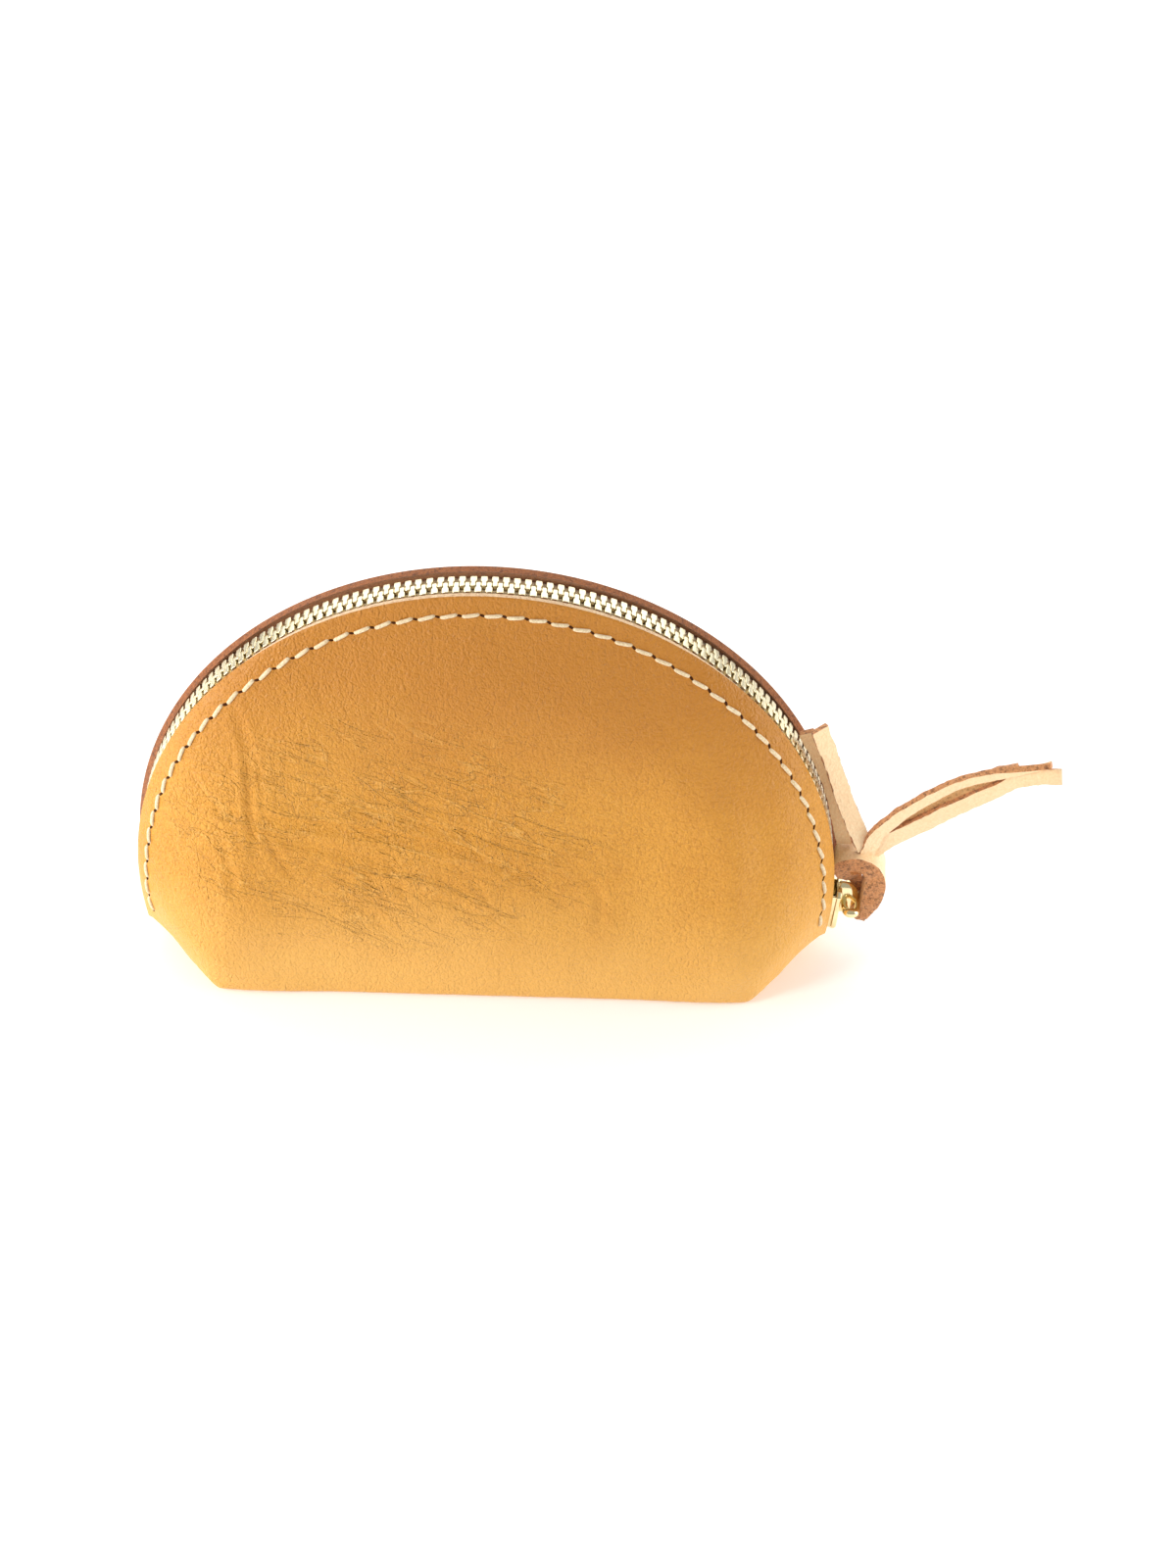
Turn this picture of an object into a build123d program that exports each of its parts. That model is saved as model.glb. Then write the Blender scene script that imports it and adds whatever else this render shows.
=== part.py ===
"""Half-moon leather pouch with a metal zip over its curved top and a split leather pull.

Origin at the centre of the base's underside, +X along the length, -Y to the front, +Z up.
"""
from build123d import *
from math import cos, degrees, hypot, pi, radians, sin, tanh
import os

# ---- body ----------------------------------------------------------------------
BASE_LENGTH = 127.0        # flat length of the base along X
BASE_DEPTH = 46.0          # front fold to back fold
LEATHER = 1.6              # thickness of the body leather
ARC_HEIGHT = 25.4          # height of the zip arc's centre above the table
FRONT_RADIUS = 82.5        # cut edge of the front panel
BACK_RADIUS = 83.0         # cut edge of the back panel
ARC_END = -12.0            # angle, below the horizontal, where the side seams end
MOUTH_WIDTH = 11.0         # outside to outside across the two cut edges
FAN = 2.4                  # how quickly the ruling lines gather at the base corners

# ---- zip -----------------------------------------------------------------------
TOOTH_PITCH = 2.5
TOOTH_TOP = 82.0           # radius of the teeth's outer side
TOOTH_DEPTH = 2.8
TOOTH_THICK = 1.1
CHAIN_HALF = 2.9           # half of the closed chain's width
TEETH_FROM, TEETH_TO = -5.2, 169.5
TAPE_RADIUS = 80.6
TAPE_THICK = 0.5
TAPE_EDGE = 1.5            # tape's inner edge, measured from the centre plane
TAPE_LOW = 68.5            # radius where the turned-down tape ends
TAPE_SLOPE = 0.13

# ---- stitching -----------------------------------------------------------------
STITCH_PITCH = 5.15
STITCH_LENGTH = 4.2
THREAD = 0.75
STITCH_INSET = 4.8

# ---- slider, bail and strap ----------------------------------------------------
SLIDER_ANGLE = -7.0        # closed position on the zip arc
SLIDER_LENGTH = 11.6
PLATE_UNDER = 83.35
PLATE_THICK = 1.1
PLATE_REAR, PLATE_MOUTH = 7.6, 9.2
FLANGE_IN, FLANGE_OUT, FLANGE_LOW = 3.05, 3.6, 81.2
LOWER_PLATE = (77.3, 78.4)
PIVOT_ABOVE_PLATE = 1.2    # bail's pivot bar, above the slider's upper plate
BAR_RADIUS = 91.3          # bail's outer bar, inside the strap's loop
WIRE = 1.6
BAIL_HALF = 5.4
STRAP_THICK = 1.6
STRAP_HALF = 4.2
STRAND_THICK = 1.8

HALF_LENGTH = BASE_LENGTH / 2
HALF_DEPTH = BASE_DEPTH / 2
HALF_MOUTH = MOUTH_WIDTH / 2


def arc_point(radius, angle):
    """X and Z of a point on a circle about the zip arc's centre."""
    a = radians(angle)
    return radius * cos(a), ARC_HEIGHT + radius * sin(a)


def panel_point(angle, w, side, radius, inset=0.0):
    """A point of a panel: w runs from the zip edge (0) to the base fold (1)."""
    tx, tz = arc_point(radius, angle)
    span = tanh(FAN * cos(radians(ARC_END)))
    bx = HALF_LENGTH * tanh(FAN * cos(radians(angle))) / span
    x = tx + (bx - tx) * w
    y = HALF_MOUTH + (HALF_DEPTH - HALF_MOUTH) * w - inset
    return Vector(x, side * y, tz * (1 - w))


def closed_panel(side, radius):
    """A panel as a closed solid between its outer and its inner ruled surface."""
    steps = 40
    first, last = ARC_END, 180 - ARC_END
    faces, edges = [], []
    for inset in (0.0, LEATHER):
        grid = [
            [
                panel_point(first + (last - first) * i / steps, j / 4, side, radius, inset)
                for j in range(5)
            ]
            for i in range(steps + 1)
        ]
        face = Face.make_surface_from_array_of_points(grid, tol=0.01)
        faces.append(face)
        edges.append(face.edges().sort_by(Axis.Z))
    low = [e[0] for e in edges]
    high = [e[-1] for e in edges]
    sides = [e[1:3].sort_by(Axis.X) for e in edges]
    pairs = [low, high, [s[0] for s in sides], [s[1] for s in sides]]
    walls = [Face.make_surface_from_curves(a, b) for a, b in pairs]
    return Solid(Shell(faces + walls))


def local(out, along):
    """X and Z of a point given in the closed slider's own radial and tangent directions."""
    a = radians(SLIDER_ANGLE)
    return (
        out * cos(a) - along * sin(a),
        ARC_HEIGHT + out * sin(a) + along * cos(a),
    )


def slider_plane(y=0.0):
    """Plane with X radial, Y along the zip and its normal along -Y."""
    a = radians(SLIDER_ANGLE)
    return Plane(origin=(0, y, ARC_HEIGHT), x_dir=(cos(a), 0, sin(a)), z_dir=(0, -1, 0))


def band(points, thick, closed=False):
    """Two rows of points on either side of a route, half the thickness away."""
    n = len(points)
    rows = ([], [])
    for i, p in enumerate(points):
        before = points[(i - 1) % n] if closed or i else p
        after = points[(i + 1) % n] if closed or i < n - 1 else p
        dx, dz = after[0] - before[0], after[1] - before[1]
        size = hypot(dx, dz)
        for row, sign in zip(rows, (1, -1)):
            row.append((p[0] - sign * dz / size * thick / 2, p[1] + sign * dx / size * thick / 2))
    return rows


os.makedirs("parts", exist_ok=True)


def save(builder, name):
    builder.part.label = name
    export_step(builder.part, f"parts/{name}.step")


# ==== leather body ==============================================================
for name, side, radius in (("front_panel", -1, FRONT_RADIUS), ("back_panel", 1, BACK_RADIUS)):
    with BuildPart() as panel:
        add(closed_panel(side, radius))
    save(panel, name)

end_x, end_z = arc_point(FRONT_RADIUS, ARC_END)
end_x -= 0.4
with BuildPart() as base_panel:
    with BuildSketch(Plane.XZ):
        with BuildLine():
            under = Polyline(
                (-end_x, end_z), (-HALF_LENGTH, 0), (HALF_LENGTH, 0), (end_x, end_z)
            )
            over = Polyline(
                (-end_x, end_z + LEATHER * 1.15),
                (-HALF_LENGTH + 0.3, LEATHER),
                (HALF_LENGTH - 0.3, LEATHER),
                (end_x, end_z + LEATHER * 1.15),
            )
            Line(under @ 0, over @ 0)
            Line(under @ 1, over @ 1)
        make_face()
    extrude(amount=HALF_DEPTH, both=True)
    with BuildSketch(Plane.XY.offset(-1)):
        wide = HALF_DEPTH - LEATHER - 0.6
        narrow = HALF_MOUTH - LEATHER - 1.2
        Polygon(
            (-end_x, -narrow), (-HALF_LENGTH, -wide), (HALF_LENGTH, -wide), (end_x, -narrow),
            (end_x, narrow), (HALF_LENGTH, wide), (-HALF_LENGTH, wide), (-end_x, narrow),
            align=None,
        )
    extrude(amount=end_z + 10, mode=Mode.INTERSECT)
save(base_panel, "base_panel")

# ==== zip tapes, beads, teeth and stops =========================================
ZIP_AXIS = Axis((0, 0, ARC_HEIGHT), (0, -1, 0))


def radial_plane(angle, side=1):
    """Plane through the zip axis: its X runs across the zip, its Y runs outward."""
    a = radians(angle)
    return Plane(
        origin=(0, 0, ARC_HEIGHT), x_dir=(0, side, 0), z_dir=(side * sin(a), 0, -side * cos(a))
    )


def across(angle, radius, y=0.0):
    """Plane facing outward at a point of the zip, with its X across the zip."""
    x, z = arc_point(radius, angle)
    a = radians(angle)
    return Plane(origin=(x, y, z), x_dir=(0, 1, 0), z_dir=(cos(a), 0, sin(a)))


tooth_step = degrees(TOOTH_PITCH / TAPE_RADIUS)
tooth_count = int((TEETH_TO - TEETH_FROM) / tooth_step)

for name, side in (("front", -1), ("back", 1)):
    high = TAPE_RADIUS + TAPE_THICK / 2
    low = high - TAPE_THICK
    wall = HALF_MOUTH - LEATHER - 0.02
    drop = (high - TAPE_LOW) * TAPE_SLOPE
    with BuildPart() as tape:
        with BuildSketch(radial_plane(ARC_END + 1, side)):
            Polygon(
                (TAPE_EDGE, low), (TAPE_EDGE, high), (wall, high),
                (wall + drop, TAPE_LOW), (wall + drop - TAPE_THICK, TAPE_LOW),
                (wall - TAPE_THICK, low),
                align=None,
            )
        revolve(axis=ZIP_AXIS, revolution_arc=178 - 2 * ARC_END)
    save(tape, f"{name}_tape")

    with BuildPart() as bead:
        with BuildSketch(radial_plane(TEETH_FROM - 0.8, side)):
            with Locations((TAPE_EDGE + 0.1, TAPE_RADIUS)):
                Circle(0.5)
        revolve(axis=ZIP_AXIS, revolution_arc=TEETH_TO - TEETH_FROM + 1.6)
    save(bead, f"{name}_tape_bead")

    shift = 0.5 if side > 0 else 0.0
    with BuildPart() as teeth:
        planes = [
            across(TEETH_FROM + (i + shift) * tooth_step, TOOTH_TOP)
            for i in range(tooth_count)
        ]
        with BuildSketch(*planes):
            Polygon(
                (-side * 0.62, -0.4), (-side * 0.62, 0.4), (-side * 0.25, TOOTH_THICK / 2),
                (side * 0.55, TOOTH_THICK / 2), (side * 1.0, 0.42), (side * CHAIN_HALF, 0.5),
                (side * CHAIN_HALF, -0.5), (side * 1.0, -0.42), (side * 0.55, -TOOTH_THICK / 2),
                (-side * 0.25, -TOOTH_THICK / 2),
                align=None,
            )
        extrude(amount=-TOOTH_DEPTH)
    save(teeth, f"{name}_teeth")

    with BuildPart() as top_stop:
        with BuildSketch(across(SLIDER_ANGLE - 2.2, TOOTH_TOP - 0.3, side * 2.25)):
            RectangleRounded(1.3, 2.6, 0.5)
        extrude(amount=-TOOTH_DEPTH + 0.6)
    save(top_stop, f"{name}_top_stop")

with BuildPart() as bottom_stop:
    with BuildSketch(across(TEETH_TO + 2.6, TOOTH_TOP - 0.1, 0.7)):
        RectangleRounded(4.0, 3.2, 0.6)
    extrude(amount=-TOOTH_DEPTH + 0.3)
save(bottom_stop, "bottom_stop")


# ==== stitching =================================================================
def stitch_frame(angle, side, radius, depth):
    """Centre of a stitch on a panel and the direction in which its row runs."""
    def point(at):
        tip = panel_point(at, 0.0, side, radius)
        foot = panel_point(at, 1.0, side, radius)
        return panel_point(at, STITCH_INSET / (foot - tip).length, side, radius, depth)

    return Plane(origin=point(angle), z_dir=point(angle + 0.5) - point(angle - 0.5))


for name, side, radius in (("front", -1, FRONT_RADIUS), ("back", 1, BACK_RADIUS)):
    run = radius - STITCH_INSET
    step = degrees(STITCH_PITCH / run)
    count = int((174 - 2 * ARC_END) / step)
    start = 90 - step * (count - 1) / 2
    for kind, depth in (("needle", -0.22), ("bobbin", LEATHER + 1.15)):
        with BuildPart() as thread:
            planes = [stitch_frame(start + i * step, side, radius, depth) for i in range(count)]
            with Locations(*planes):
                Cylinder(THREAD / 2, STITCH_LENGTH)
        save(thread, f"{name}_{kind}_stitches")


# ==== slider ====================================================================
lower, upper = LOWER_PLATE
half = SLIDER_LENGTH / 2
slider_up = slider_plane()
a0 = radians(SLIDER_ANGLE)


def facing_out(radius):
    """Plane facing outward at the closed slider: X across the zip, Y along it."""
    x, z = arc_point(radius, SLIDER_ANGLE)
    return Plane(origin=(x, 0, z), x_dir=(0, 1, 0), z_dir=(cos(a0), 0, sin(a0)))


with BuildPart() as slider_body:
    with BuildSketch(facing_out(PLATE_UNDER)):
        with BuildLine():
            m, r = PLATE_MOUTH / 2, PLATE_REAR / 2
            Polyline(
                (-r + 1.0, half), (r - 1.0, half), (r, half - 1.0), (r, 0.5), (m, -2.2),
                (m, -half + 1.6), (m - 1.8, -half), (-m + 1.8, -half), (-m, -half + 1.6),
                (-m, -2.2), (-r, 0.5), (-r, half - 1.0), close=True,
            )
        make_face()
    extrude(amount=PLATE_THICK)
    top_rim = slider_body.edges().group_by(Axis((0, 0, 0), (cos(a0), 0, sin(a0))))[-1]
    fillet(top_rim, 0.45)
    # side walls, hanging between the two cut edges of the leather
    with BuildSketch(facing_out(FLANGE_LOW)):
        for s in (-1, 1):
            with Locations((s * (FLANGE_IN + FLANGE_OUT) / 2, 0.3)):
                Rectangle(FLANGE_OUT - FLANGE_IN, SLIDER_LENGTH - 1.8)
    extrude(amount=PLATE_UNDER - FLANGE_LOW + 0.2)
    # lower plate and the wedge that joins it to the upper plate
    with BuildSketch(facing_out(lower)):
        RectangleRounded(2 * 2.9, SLIDER_LENGTH - 0.6, 1.0)
    extrude(amount=upper - lower)
    with BuildSketch(facing_out(lower)):
        with BuildLine():
            Polyline((0, -2.0), (0.95, -3.4), (0.6, -half + 0.7), (-0.6, -half + 0.7),
                     (-0.95, -3.4), close=True)
        make_face()
    extrude(amount=PLATE_UNDER - lower + 0.2)
save(slider_body, "slider_body")

plate_top = PLATE_UNDER + PLATE_THICK
with BuildPart() as slider_bridge:
    with BuildSketch(slider_up):
        with BuildLine():
            Polyline(
                (plate_top, -4.6), (plate_top + 1.7, -4.3), (plate_top + 2.9, -2.4),
                (plate_top + 3.3, 0), (plate_top + 2.9, 2.4), (plate_top + 1.7, 4.3),
                (plate_top, 4.6), (plate_top, 2.9), (plate_top + 1.1, 2.5),
                (plate_top + 1.9, 1.6), (plate_top + 2.35, 0), (plate_top + 1.9, -1.6),
                (plate_top + 1.1, -2.5), (plate_top, -2.9), close=True,
            )
        make_face()
    extrude(amount=1.4, both=True)
save(slider_bridge, "slider_bridge")

# ==== bail: a closed wire ring that turns in the bridge =========================
pivot = PLATE_UNDER + PLATE_THICK + PIVOT_ABOVE_PLATE
with BuildPart() as pull_bail:
    with BuildLine(Plane(origin=(0, 0, ARC_HEIGHT), x_dir=(0, 1, 0), z_dir=(sin(a0), 0, -cos(a0)))):
        ring = FilletPolyline(
            (-BAIL_HALF, pivot), (BAIL_HALF, pivot), (BAIL_HALF, BAR_RADIUS),
            (-BAIL_HALF, BAR_RADIUS), radius=1.6, close=True,
        )
    with BuildSketch(Plane(origin=ring @ 0, z_dir=ring % 0)):
        Circle(WIRE / 2)
    sweep()
save(pull_bail, "pull_bail")

# ==== strap: one strip, looped through the bail and slit into strands ===========
bar = BAR_RADIUS
loop_route = [
    (bar, -1.9), (bar - 1.35, -1.35), (bar - 1.9, 0.2), (bar - 2.7, 3.0), (bar - 3.5, 6.0),
    (bar - 3.9, 9.0), (bar - 3.6, 12.0), (bar - 2.2, 14.8), (bar + 0.3, 15.8), (bar + 2.2, 13.6),
    (bar + 3.0, 10.0), (bar + 3.1, 6.5), (bar + 2.6, 3.0), (bar + 1.9, 0.2), (bar + 1.35, -1.35),
]
outer_row, inner_row = band(loop_route, STRAP_THICK, closed=True)


def beside_arc(low, high, last):
    """Route that leads up along the zip edge, from one height above it to another."""
    steps = 7
    return [
        arc_point(low + (high - low) * i / (steps - 1), 3.0 + (last - 3.0) * i / (steps - 1))
        for i in range(steps)
    ]


# each strand is a flat ribbon in the upright plane of the zip arc: its route and its width
strands = [
    (beside_arc(85.9, 85.6, 27.5), 3.4),
    (beside_arc(89.9, 88.2, 28.5), 3.8),
    ([(89.5, 27.5), (92.1, 32.5), (98.6, 42.6), (107.2, 49.8), (116.3, 55.1), (131.9, 58.6)], 3.6),
    ([(91.0, 27.0), (94.6, 30.6), (101.2, 38.0), (109.3, 44.0), (119.3, 49.9), (135.0, 53.6)], 3.6),
]

with BuildPart() as pull_strap:
    with BuildSketch(Plane(origin=(0, -STRAP_HALF, 0), x_dir=(1, 0, 0), z_dir=(0, -1, 0))):
        with BuildLine():
            Spline(*[local(*p) for p in outer_row], periodic=True)
        make_face()
        with BuildLine():
            Spline(*[local(*p) for p in inner_row], periodic=True)
        make_face(mode=Mode.SUBTRACT)
    extrude(amount=-2 * STRAP_HALF)
    for route, width in strands:
        one, two = band(route, width)
        with BuildSketch(Plane.XZ):
            with BuildLine():
                first, second = Spline(*one), Spline(*two)
                Line(first @ 0, second @ 0)
                Line(first @ 1, second @ 1)
            make_face()
        extrude(amount=STRAND_THICK / 2, both=True)
save(pull_strap, "pull_strap")
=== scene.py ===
import bpy, bmesh, math
import numpy as np
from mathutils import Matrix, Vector
from mathutils.geometry import delaunay_2d_cdt


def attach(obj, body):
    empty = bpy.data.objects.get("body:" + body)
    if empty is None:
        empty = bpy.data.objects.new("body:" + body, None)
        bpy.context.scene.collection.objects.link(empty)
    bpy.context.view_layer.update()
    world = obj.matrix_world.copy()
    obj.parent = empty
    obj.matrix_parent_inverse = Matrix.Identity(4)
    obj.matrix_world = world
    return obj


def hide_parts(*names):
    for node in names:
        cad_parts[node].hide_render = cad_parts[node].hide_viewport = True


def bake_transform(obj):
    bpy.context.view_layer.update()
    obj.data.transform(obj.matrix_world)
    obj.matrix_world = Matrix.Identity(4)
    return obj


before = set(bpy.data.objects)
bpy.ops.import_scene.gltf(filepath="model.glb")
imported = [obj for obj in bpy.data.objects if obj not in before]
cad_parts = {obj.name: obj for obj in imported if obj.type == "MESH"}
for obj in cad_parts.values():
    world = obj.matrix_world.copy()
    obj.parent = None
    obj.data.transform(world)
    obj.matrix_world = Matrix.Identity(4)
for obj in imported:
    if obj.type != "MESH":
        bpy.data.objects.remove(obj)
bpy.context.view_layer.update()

# ---- dimensions, in millimetres, as in the CAD -----------------------------------
MM = 0.001
HL, HD = 63.5, 23.0            # half length and half depth of the flat base
ZC = 25.4                      # height of the zip arc's centre
RF, RB = 82.5, 83.0            # cut edges of the front and back panels
HM = 5.5                       # half width of the mouth, outside to outside
LEATHER = 1.6
ARC_END = -12.0
TOOTH_TOP, TOOTH_DEPTH, TAPE_R = 82.0, 2.8, 80.6
PITCH = 2.5
TEETH_FROM, TEETH_TO = -5.2, 169.5
STITCH_PITCH, STITCH_LEN, STITCH_IN, THREAD = 5.15, 4.15, 4.8, 0.98
SLIDER_ANGLE = -7.0
TO_ZIP = 7.0                   # creases fade out over this distance from the cut edge
CREASE_GAIN = 3.4              # scales the crease depths below
PUFF, PUFF_REACH = 3.6, 3.4    # fullness beside the zip, low at both sides
FOLD_ROUND, FOLD_PASSES = 5.0, 10    # distance from a fold that is rounded, and how often
RIM_STEP = 0.8                 # spacing of points along the cut edge


# ---- smooth value noise on points -------------------------------------------------
class Noise:
    """Smooth random field in three dimensions, by trilinear lookup with eased weights."""

    def __init__(self, seed):
        self.grid = np.random.default_rng(seed).uniform(-1, 1, (32, 32, 32))

    def __call__(self, p, scale):
        q = np.asarray(p, float) / scale + 1000.0
        i = np.floor(q).astype(int)
        f = q - i
        f = f * f * f * (f * (f * 6 - 15) + 10)
        out = 0.0
        for dx in (0, 1):
            for dy in (0, 1):
                for dz in (0, 1):
                    w = (
                        (f[..., 0] if dx else 1 - f[..., 0])
                        * (f[..., 1] if dy else 1 - f[..., 1])
                        * (f[..., 2] if dz else 1 - f[..., 2])
                    )
                    out = out + w * self.grid[
                        (i[..., 0] + dx) % 32, (i[..., 1] + dy) % 32, (i[..., 2] + dz) % 32
                    ]
        return out


noise = Noise(3)
noise_b = Noise(11)


# ---- mesh helpers -------------------------------------------------------------------
def make_object(name, verts_mm, faces, materials, mat_index=None):
    mesh = bpy.data.meshes.new(name)
    mesh.from_pydata((np.asarray(verts_mm, float) * MM).tolist(), [], faces)
    mesh.validate()
    for m in materials:
        mesh.materials.append(m)
    if mat_index is not None:
        mesh.polygons.foreach_set("material_index", np.asarray(mat_index, np.int32))
    mesh.polygons.foreach_set("use_smooth", [True] * len(mesh.polygons))
    keep_rest(mesh)
    obj = bpy.data.objects.new(name, mesh)
    bpy.context.scene.collection.objects.link(obj)
    return obj


def keep_rest(mesh):
    """Stores each point's place at rest, so that the materials follow the bending mesh."""
    old = mesh.attributes.get("rest_mm")
    if old:
        mesh.attributes.remove(old)
    att = mesh.attributes.new("rest_mm", "FLOAT_VECTOR", "POINT")
    co = np.zeros(len(mesh.vertices) * 3, np.float32)
    mesh.vertices.foreach_get("co", co)
    att.data.foreach_set("vector", co / MM)
    mesh.update()


def tube(points, radii, sides=8, squash=1.0, up=None, closed=False):
    """Vertices and faces of a round tube along points: capped at both ends, or a ring."""
    p = np.asarray(points, float)
    n = len(p)
    t = np.roll(p, -1, 0) - np.roll(p, 1, 0) if closed else np.gradient(p, axis=0)
    t /= np.linalg.norm(t, axis=1)[:, None]
    up = np.array([0, 1, 0.0]) if up is None else np.asarray(up, float)
    side = np.cross(t, up)
    side /= np.linalg.norm(side, axis=1)[:, None]
    out = np.cross(side, t)
    a = np.linspace(0, 2 * np.pi, sides, endpoint=False)
    r = np.asarray(radii, float)[:, None, None]
    ring = (
        p[:, None, :]
        + r * np.cos(a)[None, :, None] * side[:, None, :]
        + r * squash * np.sin(a)[None, :, None] * out[:, None, :]
    )
    verts = ring.reshape(-1, 3)
    faces = []
    for i in range(n if closed else n - 1):
        a0, b0 = i * sides, (i + 1) % n * sides
        for j in range(sides):
            k = (j + 1) % sides
            faces.append((a0 + j, a0 + k, b0 + k, b0 + j))
    if not closed:
        faces.append(tuple(range(sides))[::-1])
        faces.append(tuple((n - 1) * sides + j for j in range(sides)))
    return verts, faces


def joined(parts):
    verts, faces, base = [], [], 0
    for v, f in parts:
        verts.append(v)
        faces += [tuple(i + base for i in g) for g in f]
        base += len(v)
    return np.vstack(verts), faces


# ---- shape of the leather body ---------------------------------------------------------
def half_depth(x, z, radius):
    """Distance of the unwrinkled panel from the centre plane, over a place in X and Z."""
    x = np.abs(np.asarray(x, float))
    z = np.asarray(z, float)
    top = ZC + radius
    flat = HM + (HD - HM) * np.clip(1 - z / top, 0, 1)
    dx, dz = x - HL, z
    size = np.maximum(np.hypot(dx, dz), 1e-6)
    ux, uz = dx / size, dz / size
    b = ux * HL + uz * (-ZC)
    c = HL**2 + ZC**2 - radius**2
    reach = -b + np.sqrt(np.maximum(b * b - c, 0))
    cone = HM + (HD - HM) * np.clip(1 - size / reach, 0, 1)
    in_cone = dx * top + HL * z > 0          # outside the line from the corner to the top
    return np.where(in_cone, cone, flat)


def crease(x, z, pts, width, depth):
    """A soft valley along a polyline."""
    best = np.full(np.shape(x), 1e9)
    along = np.zeros(np.shape(x))
    total = sum(math.dist(a, b) for a, b in zip(pts, pts[1:]))
    run = 0.0
    for (x0, z0), (x1, z1) in zip(pts, pts[1:]):
        d = np.array([x1 - x0, z1 - z0])
        size = np.hypot(*d)
        t = np.clip(((x - x0) * d[0] + (z - z0) * d[1]) / size**2, 0, 1)
        dist = np.hypot(x - x0 - t * d[0], z - z0 - t * d[1])
        near = dist < best
        best = np.where(near, dist, best)
        along = np.where(near, (run + t * size) / total, along)
        run += size
    fade = np.sin(np.pi * np.clip(along, 0.02, 0.98)) ** 0.7
    g = best / width
    return -depth * fade * (np.exp(-g * g) - 0.45 * np.exp(-((g - 1.9) ** 2) / 0.8))


FRONT_CREASES = [
    ([(-78, 51), (-64, 51), (-52, 50), (-28, 47), (-4, 43), (12, 35), (24, 25)], 1.15, 0.20),
    ([(-70, 47), (-50, 46), (-30, 40), (-10, 36), (4, 28)], 1.3, 0.13),
    ([(-44, 56), (-24, 52), (-6, 48), (14, 43), (28, 38)], 1.2, 0.12),
    ([(-58, 77), (-54.4, 64), (-53.9, 50), (-52.7, 38)], 1.0, 0.19),
    ([(-56.7, 76), (-52, 62.5), (-51.2, 50)], 0.9, 0.14),
    ([(-51, 47), (-46.5, 37), (-41, 33)], 1.0, 0.12),
    ([(-62, 46), (-59, 36), (-58, 28)], 1.2, 0.10),
    ([(-22, 44), (-21, 36), (-16, 26)], 1.0, 0.10),
    ([(-36, 44), (-26, 34), (-10, 29), (8, 24)], 1.2, 0.11),
    ([(-8, 40), (0, 33), (2, 26)], 1.0, 0.09),
    ([(22, 40), (28, 30), (27, 20)], 1.2, 0.10),
    ([(60, 60), (66, 40), (63, 18)], 3.5, 0.20),
    ([(-66, 12), (-40, 15), (-14, 9)], 2.6, 0.10),
    ([(-10, 64), (8, 58), (30, 56)], 2.0, 0.06),
]
BACK_CREASES = [
    ([(-78, 46), (-50, 38), (-20, 30), (10, 30)], 2.4, 0.45),
    ([(50, 66), (55, 46), (52, 26)], 2.0, 0.35),
    ([(70, 34), (46, 24), (20, 20)], 2.2, 0.30),
    ([(-30, 62), (-26, 46), (-30, 32)], 2.4, 0.22),
]


def bulge(x, z, radius, creases, seed):
    """How far the soft panel stands out from its plain form."""
    r = np.hypot(x, z - ZC)
    edge = np.clip((radius - r) / 26.0, 0, 1)
    low = np.clip(z / 24.0, 0, 1)
    side = np.clip((HL + 17 - np.abs(x)) / 20.0, 0, 1)
    mask = edge * edge * (3 - 2 * edge) * (low * low * (3 - 2 * low)) * side
    p = np.stack([x, np.full_like(x, seed * 37.0), z], axis=-1)
    soft = 2.6 * mask
    soft = soft + mask**0.5 * (0.75 * noise(p, 34.0) + 0.32 * noise_b(p, 15.0))
    fine = 0.09 * noise(p, 6.5) + 0.04 * noise_b(p, 3.1)
    lines = sum(crease(x, z, *c) for c in creases)
    near_edge = np.clip((radius - r) / TO_ZIP, 0, 1)
    # the sides turn in towards the zip, most of all low down
    sx, sz = RF * math.cos(math.radians(ARC_END)) - HL, ZC + RF * math.sin(math.radians(ARC_END))
    above = (sx * z - sz * (np.abs(x) - HL)) / math.hypot(sx, sz)
    fade = np.clip(above / 12.0, 0, 1)
    wide = np.clip((np.abs(x) - 34.0) / 40.0, 0, 1)
    turn = fade * fade * (3 - 2 * fade) * wide * wide * (3 - 2 * wide)
    puff = PUFF * turn * (1 - np.exp(-np.clip(radius - r, 0, 99) / PUFF_REACH))
    return soft + puff + (fine + CREASE_GAIN * lines) * near_edge


def outline(radius, step):
    """Closed outline of a panel in X and Z, with an even spacing."""
    count = int(radius * math.radians(180 - 2 * ARC_END) / step)
    a = np.radians(np.linspace(ARC_END, 180 - ARC_END, count + 1))
    arc = np.stack([radius * np.cos(a), ZC + radius * np.sin(a)], 1)

    def line(p, q, s):
        n = max(2, int(round(math.dist(p, q) / s)))
        return np.array([np.array(p) + (np.array(q) - np.array(p)) * i / n for i in range(1, n)])

    left, right = arc[-1], arc[0]
    low = [
        line(left, (-HL, 0), 1.0), np.array([[-HL, 0.0]]), line((-HL, 0), (HL, 0), 1.0),
        np.array([[HL, 0.0]]), line((HL, 0), right, 1.0),
    ]
    return arc, np.vstack(low)


def fill(boundary, inner_points):
    """Triangles over a closed 2-D outline and points within it."""
    pts = np.vstack([boundary] + inner_points)
    n = len(boundary)
    loop = [(i, (i + 1) % n) for i in range(n)]
    out = delaunay_2d_cdt([Vector(p) for p in pts.tolist()], loop, [], 1, 1e-5)
    return np.array([tuple(v) for v in out[0]]), [tuple(f) for f in out[2]]


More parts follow.
